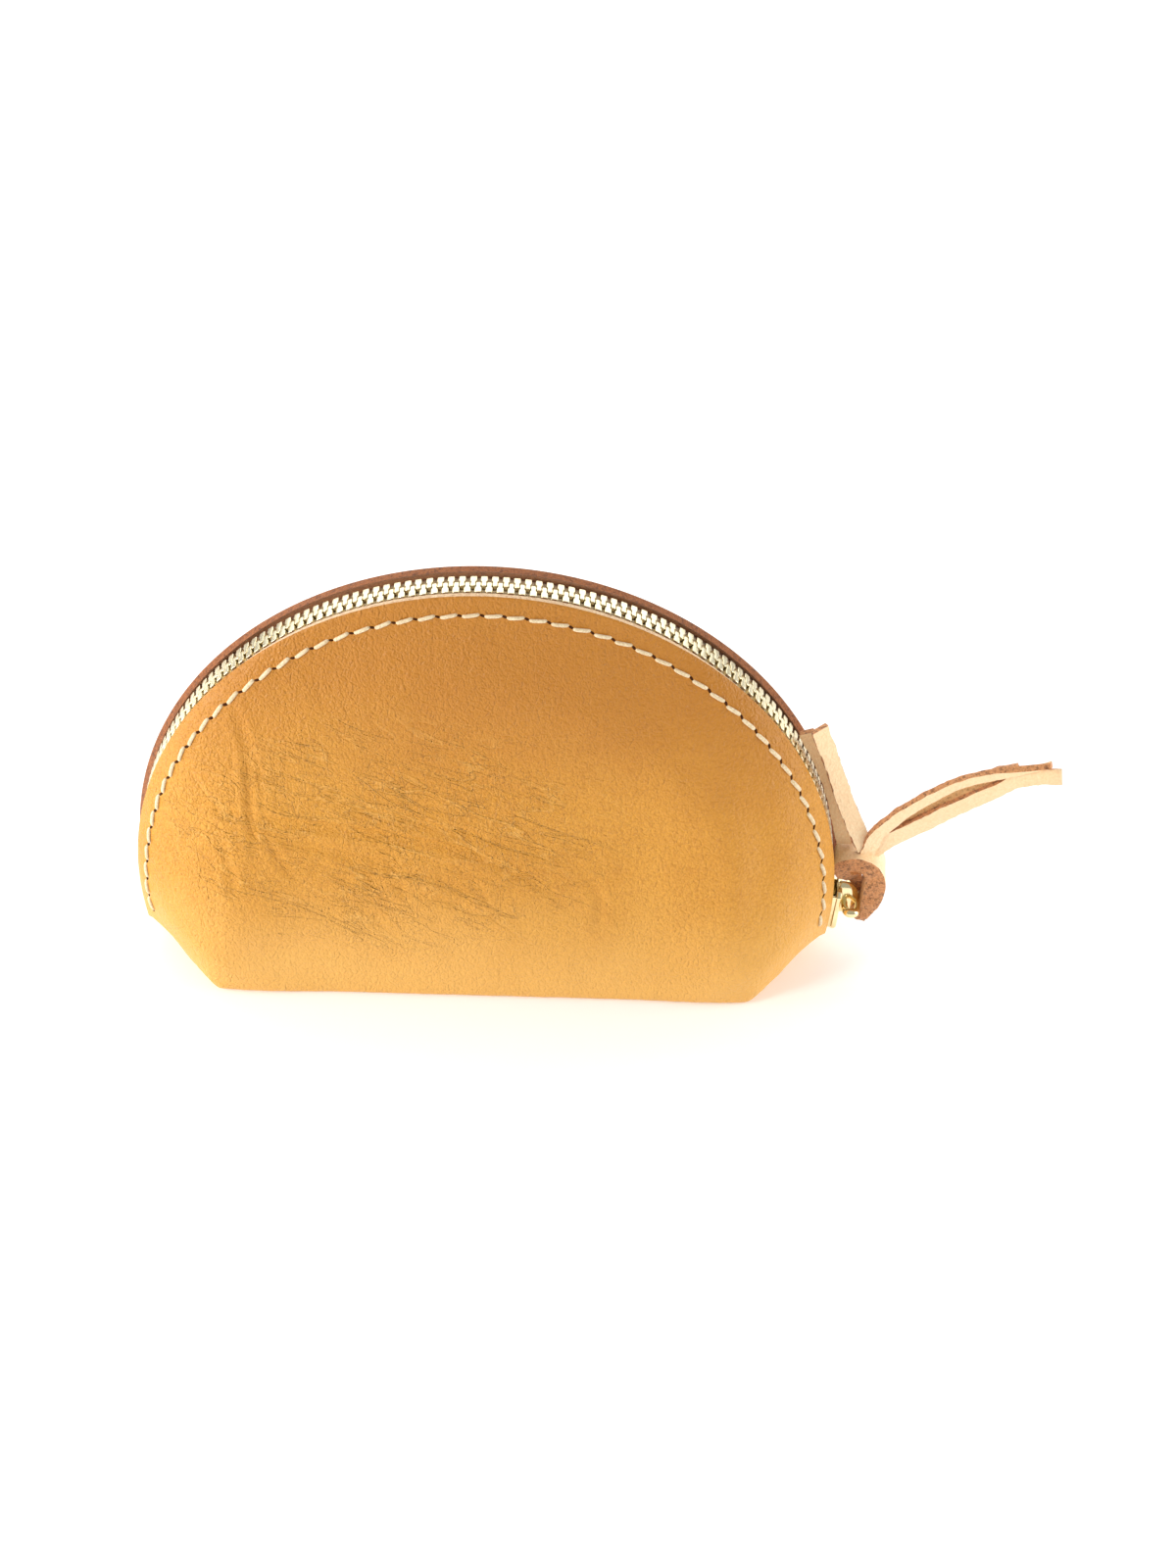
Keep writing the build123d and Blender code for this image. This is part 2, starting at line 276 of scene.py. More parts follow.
def inside_shape(p, radius, margin):
    x, z = np.abs(p[:, 0]), p[:, 1]
    r = np.hypot(x, z - ZC)
    ex, ez = radius * math.cos(math.radians(ARC_END)), ZC + radius * math.sin(math.radians(ARC_END))
    nx, nz = ez, -(ex - HL)
    size = math.hypot(nx, nz)
    flap = ((x - HL) * nx + z * nz) / size          # positive outside the crease
    return (r < radius - margin) & (z > margin) & (flap < -margin)


def panel_sheet(radius, side, creases, seed):
    """Outer surface of a panel as points and triangles. Rows of points follow the zip edge."""
    arc, low = outline(radius, RIM_STEP)
    boundary = np.vstack([arc, low])
    rows = []
    for depth in (0.14, 0.4, 0.9, 1.6, 2.4, 3.2, 3.8, 4.3, 4.8, 5.3, 5.8, 6.5, 7.3):
        rr = radius - depth
        n = int(rr * math.radians(180 - 2 * ARC_END) / 0.75)
        a = np.radians(np.linspace(ARC_END, 180 - ARC_END, n))
        q = np.stack([rr * np.cos(a), ZC + rr * np.sin(a)], 1)
        rows.append(q[inside_shape(q, radius, 0.10)])
    s = 1.0
    gx, gz = np.meshgrid(np.arange(-84, 84, s), np.arange(0, 110, s * 0.866))
    gx = gx + (np.arange(gz.shape[0]) % 2)[:, None] * s / 2
    g = np.stack([gx.ravel(), gz.ravel()], 1)
    keep = inside_shape(g, radius, 0.75) & (np.hypot(g[:, 0], g[:, 1] - ZC) < radius - 8.0)
    rows.append(g[keep])
    pts, tris = fill(boundary, rows)
    x, z = pts[:, 0], pts[:, 1]
    h = half_depth(x, z, radius) + bulge(x, z, radius, creases, seed)
    r = np.hypot(x, z - ZC)
    h = h - 0.22 * np.exp(-np.clip(radius - r, 0, 9) / 0.16)      # eased cut edge
    return np.stack([x, side * h, z], 1), tris




# ---- materials ---------------------------------------------------------------------
class Shader:
    """A material and short ways to add nodes to it."""

    def __init__(self, name):
        self.mat = bpy.data.materials.new(name)
        self.mat.use_nodes = True
        self.tree = self.mat.node_tree
        self.bsdf = self.tree.nodes["Principled BSDF"]
        self.rest = self.node("ShaderNodeAttribute", attribute_name="rest_mm").outputs["Vector"]

    def node(self, kind, inputs=None, **settings):
        n = self.tree.nodes.new(kind)
        for key, value in settings.items():
            setattr(n, key, value)
        for key, value in (inputs or {}).items():
            self.put(n.inputs[key], value)
        return n

    def put(self, socket, value):
        if isinstance(value, bpy.types.NodeSocket):
            self.tree.links.new(value, socket)
        elif isinstance(value, (tuple, list)) and len(value) == 3 and socket.type == "RGBA":
            socket.default_value = (*value, 1)
        else:
            socket.default_value = value

    def noise(self, scale, detail=3.0, rough=0.5, stretch=None, distortion=0.0):
        v = self.rest
        if stretch:
            v = self.node("ShaderNodeMapping", {"Vector": v, "Scale": stretch}).outputs[0]
        n = self.node("ShaderNodeTexNoise", {"Vector": v, "Scale": scale, "Detail": detail,
                                            "Roughness": rough, "Distortion": distortion})
        return n.outputs["Fac"]

    def cells(self, scale, feature="F1", stretch=None):
        v = self.rest
        if stretch:
            v = self.node("ShaderNodeMapping", {"Vector": v, "Scale": stretch}).outputs[0]
        n = self.node("ShaderNodeTexVoronoi", {"Vector": v, "Scale": scale}, feature=feature)
        return n.outputs["Distance"]

    def span(self, value, low, high, to_low=0.0, to_high=1.0):
        return self.node("ShaderNodeMapRange", {0: value, 1: low, 2: high, 3: to_low, 4: to_high},
                         interpolation_type="SMOOTHSTEP").outputs[0]

    def math(self, op, a, b=0.0):
        return self.node("ShaderNodeMath", {0: a, 1: b}, operation=op).outputs[0]

    def mix(self, fac, a, b):
        n = self.node("ShaderNodeMix", data_type="RGBA")
        self.put(n.inputs["Factor"], fac)
        self.put(n.inputs["A"], a)
        self.put(n.inputs["B"], b)
        return n.outputs["Result"]

    def bump(self, height, distance, strength=1.0, normal=None):
        n = self.node("ShaderNodeBump", {"Height": height, "Distance": distance * MM,
                                         "Strength": strength})
        if normal:
            self.put(n.inputs["Normal"], normal)
        return n.outputs[0]

    def set(self, **values):
        for key, value in values.items():
            self.put(self.bsdf.inputs[key.replace("_", " ")], value)
        return self.mat


def leather(name, light, mid, dark, grain=1.0, rough=(0.34, 0.50), body=False):
    """Smooth-sided vegetable-tanned leather: fine pebble, pores, wrinkles and uneven dye; on the body
    also painted shade towards the top and upper right, painted floor light towards the bottom, and
    painted shade and highlight along the wrinkles.
    """
    s = Shader(name)
    cloud = s.noise(0.022, 4, 0.55)
    cloud_small = s.noise(0.11, 5, 0.6)
    fibre = s.noise(0.9, 4, 0.6, stretch=(1.0, 1.0, 0.55))
    pebble = s.cells(1.9, "SMOOTH_F1")
    pebble_small = s.cells(2.7, "F1")
    crack = s.cells(0.75, "DISTANCE_TO_EDGE", stretch=(1.0, 1.0, 0.7))
    folds = s.noise(0.23, 3, 0.5, stretch=(1.6, 1.0, 0.6), distortion=1.2)
    color = s.mix(s.span(cloud, 0.30, 0.72, 0, 0.7), mid, light)
    color = s.mix(s.span(cloud_small, 0.45, 0.85, 0, 0.22), color, dark)
    color = s.mix(s.span(pebble, 0.15, 0.75, 0.0, 0.36), color, dark)
    color = s.mix(s.span(fibre, 0.52, 0.78, 0, 0.45), color, light)
    flecks = s.noise(1.7, 3, 0.65, stretch=(0.8, 1.0, 1.1))
    color = s.mix(s.span(flecks, 0.56, 0.70, 0, 0.42), color, light)
    color = s.mix(s.span(flecks, 0.44, 0.30, 0, 0.40), color, dark)
    pores = s.span(s.cells(1.9, "F1"), 0.0, 0.16, 1.0, 0.0)
    color = s.mix(s.math("MULTIPLY", pores, 0.45), color, dark)
    n = s.bump(folds, 0.55 * grain, 0.55)
    if body:
        place = s.node("ShaderNodeSeparateXYZ", {0: s.rest}).outputs
        wave = s.math("MULTIPLY", s.math("SUBTRACT", s.noise(0.03, 2, 0.5), 0.5), 26.0)
        height = s.math("ADD", place[2], wave)
        # painted shade: darker towards the top of the body
        color = s.mix(s.span(height, 46, 92, 0, 0.62), color, dark)
        # painted light from the floor: paler towards the bottom of the body
        color = s.mix(s.span(height, 2, 38, 0.85, 0), color, BODY_PAINTED_LIGHT)
        # painted shade: darker towards the upper right
        lean = s.math("ADD", height, s.math("MULTIPLY", place[0], 0.35))
        color = s.mix(s.span(lean, 60, 96, 0, 0.22), color, dark)
        # handling wrinkles, gathered left of the middle: painted shade in their grooves and painted
        # highlight on their crests, with a bump
        dx = s.math("MULTIPLY", s.math("ADD", place[0], 23.0), 0.0185)
        dz = s.math("MULTIPLY", s.math("SUBTRACT", place[2], 45.0), 0.034)
        away = s.math("ADD", s.math("MULTIPLY", dx, dx), s.math("MULTIPLY", dz, dz))
        mask = s.math("MULTIPLY", s.span(away, 0.1, 1.7, 1, 0),
                      s.span(s.noise(0.07, 3), 0.30, 0.55, 0.15, 1))
        both = crest = 0.0
        for turn, stretch, share in ((0.38, (36, 9, 8), 0.75), (0.30, (18, 5, 4), 0.55),
                                     (1.40, (20, 6, 4.5), 0.35), (0.55, (7, 3, 2.4), 0.28)):
            turned = s.node("ShaderNodeMapping", {"Vector": s.rest, "Rotation": (0, turn, 0),
                                                 "Scale": stretch}, vector_type="TEXTURE")
            lines = s.node("ShaderNodeTexNoise", {"Vector": turned.outputs[0], "Scale": 1.0,
                                                 "Detail": 2.5, "Distortion": 0.5}).outputs["Fac"]
            off = s.math("ABSOLUTE", s.math("SUBTRACT", lines, 0.5))
            both = s.math("ADD", both, s.math("MULTIPLY", s.span(off, 0.0, 0.017, 1, 0), share))
            crest = s.math("ADD", crest, s.math("MULTIPLY", s.span(
                s.math("ABSOLUTE", s.math("SUBTRACT", lines, 0.527)), 0.0, 0.016, 1, 0), share))
        both = s.math("MULTIPLY", both, mask)
        crest = s.math("MULTIPLY", crest, mask)
        # painted shade in the wrinkle grooves, painted highlight on their crests
        color = s.mix(s.math("MULTIPLY", both, 0.07), color, dark)
        color = s.mix(s.math("MULTIPLY", crest, 0.46), color, BODY_PAINTED_LIGHT)
        n = s.bump(s.math("SUBTRACT", crest, both), 0.30, 0.8, n)
    n = s.bump(s.span(crack, 0.0, 0.22), 0.14 * grain, 0.6, n)
    n = s.bump(pebble, 0.24 * grain, 0.8, n)
    n = s.bump(pebble_small, 0.09 * grain, 0.7, n)
    n = s.bump(s.noise(5.0, 3, 0.6), 0.04 * grain, 0.5, n)
    r = s.span(s.noise(0.35, 4, 0.6), 0.3, 0.7, *rough)
    return s.set(Base_Color=color, Roughness=r, Normal=n, Specular_IOR_Level=0.34)


def raw_leather(name, light, dark, deep):
    """Cut edge or flesh side: open, fibrous and dull."""
    s = Shader(name)
    a = s.noise(1.9, 5, 0.75)
    b = s.cells(2.2, "F1")
    color = s.mix(s.span(a, 0.35, 0.7), light, dark)
    color = s.mix(s.span(s.noise(1.1, 4, 0.7), 0.48, 0.66, 0, 0.75), color, deep)
    n = s.bump(a, 0.35, 0.8)
    n = s.bump(b, 0.12, 0.6, n)
    return s.set(Base_Color=color, Roughness=0.85, Normal=n, Specular_IOR_Level=0.2,
                 Sheen_Weight=0.25, Sheen_Roughness=0.6)


def thread_material(name, light, dark):
    s = Shader(name)
    a = s.noise(2.2, 3, 0.6)
    color = s.mix(s.span(a, 0.3, 0.7), light, dark)
    n = s.bump(s.noise(3.2, 2, 0.5, stretch=(1, 1, 1)), 0.12, 0.9)
    return s.set(Base_Color=color, Roughness=0.55, Normal=n, Sheen_Weight=0.2)


def cloth_material(name, light, dark):
    s = Shader(name)
    weave = s.node("ShaderNodeTexWave", {"Vector": s.rest, "Scale": 1.25, "Distortion": 0.6,
                                         "Detail": 1.0}, bands_direction="DIAGONAL")
    w = weave.outputs["Fac"]
    color = s.mix(s.span(w, 0.2, 0.8), dark, light)
    color = s.mix(s.span(s.noise(0.9, 3, 0.6), 0.4, 0.7, 0, 0.35), color, dark)
    n = s.bump(w, 0.14, 0.8)
    n = s.bump(s.noise(4.0, 2, 0.5), 0.05, 0.6, n)
    return s.set(Base_Color=color, Roughness=0.85, Normal=n, Sheen_Weight=0.15)


def metal(name, color, worn, rough=(0.14, 0.30)):
    s = Shader(name)
    a = s.noise(0.8, 4, 0.6)
    c = s.mix(s.span(a, 0.4, 0.75, 0, 0.5), color, worn)
    r = s.span(s.noise(1.6, 4, 0.7), 0.3, 0.75, *rough)
    n = s.bump(s.noise(2.4, 2, 0.5), 0.02, 0.35)
    return s.set(Base_Color=c, Roughness=r, Normal=n, Metallic=1.0)


def plain_dark(name, color):
    s = Shader(name)
    c = s.mix(s.noise(1.5, 2, 0.5), color, tuple(v * 0.5 for v in color))
    return s.set(Base_Color=c, Roughness=0.9, Specular_IOR_Level=0.1)


TAN_LIGHT, TAN, TAN_DARK = (0.77, 0.375, 0.054), (0.69, 0.310, 0.038), (0.44, 0.157, 0.016)
# painted light: the floor's glow on the lower body and the highlight on wrinkle crests
BODY_PAINTED_LIGHT = (0.88, 0.49, 0.125)
m_leather = leather("leather_grain", TAN_LIGHT, TAN, TAN_DARK, body=True)
m_edge = raw_leather("leather_cut_edge", (0.90, 0.66, 0.40), (0.74, 0.45, 0.22), (0.50, 0.25, 0.10))
# painted shade: a darker copy of the cut edge for the back panel's rim, which faces away from the
# light
m_edge_painted_shade = raw_leather("leather_cut_edge_painted_shade", (0.40, 0.135, 0.036), (0.28, 0.085, 0.022),
                          (0.11, 0.035, 0.011))
m_flesh = raw_leather("leather_flesh_side", (0.46, 0.19, 0.06), (0.35, 0.13, 0.038),
                      (0.22, 0.08, 0.022))
m_strap = leather("strap_grain", (1.0, 0.80, 0.53), (1.0, 0.73, 0.43), (0.92, 0.55, 0.26), 0.45,
                  (0.42, 0.58))
m_strap_edge = raw_leather("strap_cut_edge", (0.80, 0.38, 0.15), (0.48, 0.18, 0.06),
                           (0.09, 0.028, 0.009))
m_strap_flesh = raw_leather("strap_flesh_side", (1.0, 0.64, 0.28), (0.93, 0.52, 0.20),
                            (0.52, 0.24, 0.08))
m_thread = thread_material("waxed_thread", (0.90, 0.77, 0.52), (0.70, 0.52, 0.29))
m_tape = cloth_material("zip_tape", (0.84, 0.70, 0.48), (0.60, 0.44, 0.26))
m_brass = metal("zip_brass", (0.95, 0.86, 0.60), (0.86, 0.70, 0.42), (0.24, 0.40))
m_gold = metal("slider_gold", (0.98, 0.84, 0.50), (0.90, 0.70, 0.36), (0.08, 0.2))
# painted shade: near-black colour standing for the shade inside the needle holes
m_hole = plain_dark("needle_hole", (0.075, 0.022, 0.006))

# ---- places on the panels ------------------------------------------------------------------
def on_panel(angle, depth, side, lift=0.0):
    """Point and outward normal of a panel's outer face, depth in from its cut edge."""
    radius, lines, seed = (RF, FRONT_CREASES, 1) if side < 0 else (RB, BACK_CREASES, 2)
    a = np.radians(np.asarray(angle, float))
    r = radius - np.asarray(depth, float)

    def h(x, z):
        return half_depth(x, z, radius) + bulge(x, z, radius, lines, seed)

    x, z = r * np.cos(a), ZC + r * np.sin(a)
    y = h(x, z)
    hx, hz = (h(x + 0.3, z) - h(x - 0.3, z)) / 0.6, (h(x, z + 0.3) - h(x, z - 0.3)) / 0.6
    n = np.stack([-hx, np.ones_like(hx), -hz], -1)
    n /= np.linalg.norm(n, axis=-1)[..., None]
    n[..., 1] *= side
    p = np.stack([x, side * y, z], -1)
    return p + n * np.asarray(lift, float)[..., None], n


# ---- leather body -----------------------------------------------------------------------
front_pts, front_tris = panel_sheet(RF, -1, FRONT_CREASES, 1)
back_pts, back_tris = panel_sheet(RB, 1, BACK_CREASES, 2)


def low_edge(pts, radius):
    """The panel's own points along its lower outline, from the left end to the right end."""
    arc, low = outline(radius, RIM_STEP)
    n = len(arc)
    return np.vstack([pts[n - 1], pts[n : n + len(low)], pts[0]])


fl, bl = low_edge(front_pts, RF), low_edge(back_pts, RB)


def cross(p, q):
    n = max(2, int(math.dist(p, q) / 1.0))
    return np.array([np.array(p) + (np.array(q) - np.array(p)) * i / n for i in range(1, n)])


ring = np.vstack([fl, cross(fl[-1], bl[-1]), bl[::-1], cross(bl[0], fl[0])])
gx, gy = np.meshgrid(np.arange(-84, 84, 1.2), np.arange(-24, 24, 1.04))
gx = gx + (np.arange(gy.shape[0]) % 2)[:, None] * 0.6
g = np.stack([gx.ravel(), gy.ravel()], 1)
gap = np.interp(np.abs(g[:, 0]), [0, HL, abs(fl[-1][0])], [HD, HD, HM]) - np.abs(g[:, 1])
g = g[(gap > 0.8) & (np.abs(g[:, 0]) < abs(fl[-1][0]) - 0.8)]
flat2, base_tris = fill(ring[:, :2], [g])
base_z = np.empty(len(flat2))
base_z[: len(ring)] = ring[:, 2]
slope = fl[-1][2] / (fl[-1][0] - HL)
base_z[len(ring):] = np.maximum(0, (np.abs(flat2[len(ring):, 0]) - HL) * slope)
base_pts = np.column_stack([flat2, base_z])
base_pts[: len(ring)] = ring

all_pts = np.vstack([front_pts, back_pts, base_pts])
nf, nb = len(front_pts), len(back_pts)
tris = (
    [tuple(t) for t in front_tris]
    + [tuple(i + nf for i in t[::-1]) for t in back_tris]
    + [tuple(i + nf + nb for i in t[::-1]) for t in base_tris]
)
kind = np.array([0] * len(front_tris) + [1] * len(back_tris) + [2] * len(base_tris))
_, first, weld = np.unique(np.round(all_pts, 4), axis=0, return_index=True, return_inverse=True)
P = all_pts[first]
T = weld.ravel()[np.array(tris)]
ok = (T[:, 0] != T[:, 1]) & (T[:, 1] != T[:, 2]) & (T[:, 0] != T[:, 2])
T, kind = T[ok], kind[ok]

E = np.vstack([T[:, [0, 1]], T[:, [1, 2]], T[:, [2, 0]]])
Es = np.sort(E, axis=1)
uniq, count = np.unique(Es, axis=0, return_counts=True)
rim = np.zeros(len(P), bool)
rim[uniq[count == 1].ravel()] = True
deg = np.bincount(uniq.ravel(), minlength=len(P)).astype(float)[:, None]
fold_lines = np.vstack([fl, bl])
dist = np.full(len(P), 1e9)
for chunk in np.array_split(fold_lines, 12):
    dist = np.minimum(dist, np.linalg.norm(P[:, None] - chunk[None], axis=2).min(1))
near = np.clip(1 - dist / FOLD_ROUND, 0, 1)
near = (near * near * (3 - 2 * near))[:, None]
near[rim] = 0
for _ in range(FOLD_PASSES):
    total = np.zeros_like(P)
    np.add.at(total, uniq[:, 0], P[uniq[:, 1]])
    np.add.at(total, uniq[:, 1], P[uniq[:, 0]])
    P = P + near * 0.55 * (total / deg - P)
P[:, 2] = np.where(dist < FOLD_ROUND, np.maximum(P[:, 2], 0.0), P[:, 2])


def vertex_normals(P, T):
    fn = np.cross(P[T[:, 1]] - P[T[:, 0]], P[T[:, 2]] - P[T[:, 0]])
    n = np.zeros_like(P)
    for k in range(3):
        np.add.at(n, T[:, k], fn)
    return n / np.maximum(np.linalg.norm(n, axis=1), 1e-12)[:, None]


N = vertex_normals(P, T)
for side, radius in ((-1, RF), (1, RB)):
    # the cut edge is square to the leather, although its outer corner is eased
    r = np.hypot(P[:, 0], P[:, 2] - ZC)
    near_cut = (np.sign(P[:, 1]) == side) & (np.abs(P[:, 1]) < HM + 4) & (r > radius - 2.2)
    ang = np.degrees(np.arctan2(P[near_cut, 2] - ZC, P[near_cut, 0]))
    ang = np.where(ang < -90, ang + 360, ang)
    N[near_cut] = on_panel(ang, np.full(ang.shape, 3.0), side)[1]
inner = P - N * LEATHER
# the flesh side keeps to the same cut edge and never reaches across the centre plane
inner[:, 2] = np.maximum(inner[:, 2], LEATHER * 0.95 * (P[:, 2] < 3) * (np.abs(P[:, 0]) < HL))
mid = (P[T[:, 0]] + P[T[:, 1]] + P[T[:, 2]]) / 3
to_back = np.full(len(T), 1e9)
for chunk in np.array_split(bl, 6):
    to_back = np.minimum(to_back, np.linalg.norm(mid[:, None] - chunk[None], axis=2).min(1))
is_back = (kind == 1) | ((kind == 2) & (to_back < 5.5))


def leather_piece(name, faces, edge):
    """Outer and inner surface of some of the body's triangles, closed all round."""
    used, local_faces = np.unique(faces.ravel(), return_inverse=True)
    F = local_faces.reshape(-1, 3)
    n = len(used)
    v = np.vstack([P[used], inner[used]])
    out = F.tolist()
    back = (F[:, ::-1] + n).tolist()
    e = np.vstack([F[:, [0, 1]], F[:, [1, 2]], F[:, [2, 0]]])
    key = {tuple(x) for x in e.tolist()}
    walls = [(b, a, a + n, b + n) for a, b in key if (b, a) not in key]
    polys = out + back + walls
    index = [0] * len(out) + [1] * len(back) + [2] * len(walls)
    obj = make_object(name, v, [tuple(f) for f in polys], [m_leather, m_flesh, edge], index)
    obj.data.set_sharp_from_angle(angle=math.radians(52))
    return obj


body_front = leather_piece("leather_front_and_base", T[~is_back], m_edge)
body_back = leather_piece("leather_back", T[is_back], m_edge_painted_shade)


def stitch_depths(angles, side):
    """Depth in the upright plane at which the surface is STITCH_IN away from the cut edge."""
    d = np.linspace(0, 6, 49)
    p, _ = on_panel(np.repeat(angles, 49), np.tile(d, len(angles)), side)
    p = p.reshape(len(angles), 49, 3)
    run = np.cumsum(np.linalg.norm(np.diff(p, axis=1), axis=2), axis=1)
    return np.array([np.interp(STITCH_IN, row, d[1:]) for row in run])


def stitches(name, side, outside):
    radius = RF if side < 0 else RB
    step = math.degrees(STITCH_PITCH / (radius - STITCH_IN))
    count = int((174 - 2 * ARC_END) / step)
    start = 90 - step * (count - 1) / 2
    half = math.degrees(STITCH_LEN / 2 / (radius - STITCH_IN))
    local_rng = np.random.default_rng(5 if side < 0 else 6)
    parts, holes = [], []
    t = np.linspace(-1, 1, 9)
    depths = stitch_depths(start + np.arange(count) * step, side)
    for i in range(count):
        c = start + i * step + local_rng.normal(0, 0.03)
        slant = 0.30 + local_rng.normal(0, 0.05)
        depth = depths[i] + slant * t * (1 if side < 0 else -1)
        if outside:
            lift = 0.26 - 0.72 * np.abs(t) ** 5
            p, n = on_panel(c + half * t, depth, side, lift)
        else:
            p, n = on_panel(c + half * t, depth, side, -(LEATHER + 0.85) + 0.5 * np.abs(t) ** 4)
        radii = THREAD / 2 * (1 - 0.30 * np.abs(t) ** 4)
        parts.append(tube(p, radii, 10, 0.82, up=n[4]))
        if outside:
            k = np.array([-1.0, 0.0, 1.0])
            q, m = on_panel(c + step / 2 + k * half * 0.36,
                            depths[i] - 0.30 * k * (1 if side < 0 else -1), side, 0.0 * k)
            holes.append(hole(q, m[1], 0.40 + local_rng.uniform(0, 0.08)))
    v, f = joined(parts)
    obj = make_object(name, v, f, [m_thread])
    if holes:
        v, f = joined(holes)
        dark = make_object(name.replace("stitches", "needle_holes"), v, f, [m_hole])
        return obj, dark
    return obj, None


def hole(ends, normal, half_width):
    """Dark slanted slit that two neighbouring stitches share; its near-black colour is painted shade
    for the depth of the hole.
    """
    centre, reach = ends[1], (ends[2] - ends[0]) / 2
    w = np.cross(normal, reach)
    w *= half_width / np.linalg.norm(w)
    a = np.linspace(0, 2 * np.pi, 14, endpoint=False)
    rim_pts = centre + np.cos(a)[:, None] * reach + np.sin(a)[:, None] * w - normal * 0.03
    v = np.vstack([rim_pts, centre + normal * 0.10, centre - normal * 0.3])
    n = len(a)
    f = [(i, (i + 1) % n, n) for i in range(n)] + [((i + 1) % n, i, n + 1) for i in range(n)]
    return v, f


needle_front, holes_front = stitches("front_saddle_stitches", -1, True)
needle_back, holes_back = stitches("back_saddle_stitches", 1, True)
bobbin_front, _ = stitches("front_inner_stitches", -1, False)
bobbin_back, _ = stitches("back_inner_stitches", 1, False)


# ---- zip ---------------------------------------------------------------------------------------
def zip_frame(angle):
    """Centre line directions at an angle of the zip: outward and along."""
    a = math.radians(angle)
    return np.array([math.cos(a), 0, math.sin(a)]), np.array([-math.sin(a), 0, math.cos(a)])


def tooth_mesh():
    """One tooth: a rounded head, a waist, and a shank that grips the tape."""
    half = [(-0.70, 0.34), (-0.50, 0.55), (0.25, 0.58), (0.70, 0.50), (1.05, 0.56), (1.30, 0.80),
            (2.70, 0.82), (2.95, 0.62)]
    poly = half + [(y, -t) for y, t in reversed(half)]
    bm = bmesh.new()
    vs = [bm.verts.new((y, t, 0)) for y, t in poly]
    face = bm.faces.new(vs)
    top = bmesh.ops.extrude_face_region(bm, geom=[face])
    bmesh.ops.translate(bm, vec=(0, 0, -TOOTH_DEPTH), verts=[
        v for v in top["geom"] if isinstance(v, bmesh.types.BMVert)])
    bmesh.ops.recalc_face_normals(bm, faces=bm.faces)
    rims = [e for e in bm.edges if abs(e.verts[0].co.z - e.verts[1].co.z) < 1e-6]
    bmesh.ops.bevel(bm, geom=rims, offset=0.17, segments=3, profile=0.6, affect="EDGES")
    v = np.array([x.co[:] for x in bm.verts])
    # a shallow pocket and bump where each head meets the next
    head = np.exp(-((v[:, 0] + 0.05) / 0.5) ** 2)
    v[:, 1] += np.where(v[:, 1] > 0, 0.05, 0.02) * head
    f = [tuple(x.index for x in face.verts) for face in bm.faces]
    bm.free()
    return v, f


tooth_v, tooth_f = tooth_mesh()
tooth_step = math.degrees(PITCH / TAPE_R)
tooth_count = int((TEETH_TO - TEETH_FROM) / tooth_step)


def tooth_row(name, side):
    parts = []
    local_rng = np.random.default_rng(21 + side)
    for i in range(tooth_count):
        angle = TEETH_FROM + (i + (0.5 if side > 0 else 0.0)) * tooth_step
        out, along = zip_frame(angle)
        lean = local_rng.normal(0, 0.02)
        y = side * tooth_v[:, 0]
        r = TOOTH_TOP + tooth_v[:, 2]
        t = tooth_v[:, 1] + lean * tooth_v[:, 0]
        v = np.array([0, 0, ZC]) + r[:, None] * out + t[:, None] * along
        v[:, 1] += y
        parts.append((v, tooth_f if side > 0 else [g[::-1] for g in tooth_f]))
    v, f = joined(parts)
    obj = make_object(name, v, f, [m_brass])
    obj.data.set_sharp_from_angle(angle=math.radians(40))
    return obj


teeth_front = tooth_row("front_tooth_row", -1)
teeth_back = tooth_row("back_tooth_row", 1)


def tape(name, side):
    """Woven tape: flat between the teeth and the leather, then turned down inside it."""
    angles = np.arange(ARC_END + 0.6, 180 - ARC_END - 0.59, 1.0)
    radius = RF if side < 0 else RB
    radii = [80.2, 79.3, 78.0, 76.6, 75.0, 73.0, 71.0, 69.0]
    sections = []
    place, _ = on_panel(np.repeat(angles, len(radii)), np.tile(radius - np.array(radii), len(angles)),
                        side)
    inside = np.abs(place[:, 1]).reshape(len(angles), -1) - 1.62
    for a, ys in zip(angles, inside):
        outer = [(1.45, 80.95), (2.4, 80.95), (3.0, 80.9), (3.45, 80.75)] + [
            (y - 0.08, r) for y, r in zip(ys, radii)]
        low = [(y - 0.5, r - 0.25 * (k == 0)) for k, (y, r) in enumerate(
            [(y - 0.08, r) for y, r in zip(ys, radii)])]
        inner_line = [(1.45, 80.4), (2.4, 80.4), (2.85, 80.3), (3.1, 80.1)] + low
        loop = outer + inner_line[::-1]
        out, _ = zip_frame(a)
        sections.append([
            np.array([0, side * y, ZC]) + r * out for y, r in loop])
    n = len(sections[0])
    v = np.array(sections).reshape(-1, 3)
    f = []
    for i in range(len(sections) - 1):
        for j in range(n):
            k = (j + 1) % n
            f.append((i * n + j, (i + 1) * n + j, (i + 1) * n + k, i * n + k))
    f.append(tuple(range(n)))
    f.append(tuple((len(sections) - 1) * n + j for j in range(n))[::-1])
    if side < 0:
        f = [g[::-1] for g in f]
    obj = make_object(name, v, f, [m_tape])
    obj.data.set_sharp_from_angle(angle=math.radians(60))
    # corded edge that the teeth grip
    t = np.radians(np.arange(TEETH_FROM - 0.8, TEETH_TO + 0.8, 0.8))
    line = np.stack([TAPE_R * np.cos(t), np.full_like(t, side * 1.55), ZC + TAPE_R * np.sin(t)], 1)
    tv, tf = tube(line, np.full(len(t), 0.55), 10)
    bead = make_object(name + "_bead", tv, tf, [m_tape])
    return obj, bead


tape_front, bead_front = tape("front_zip_tape", -1)
tape_back, bead_back = tape("back_zip_tape", 1)


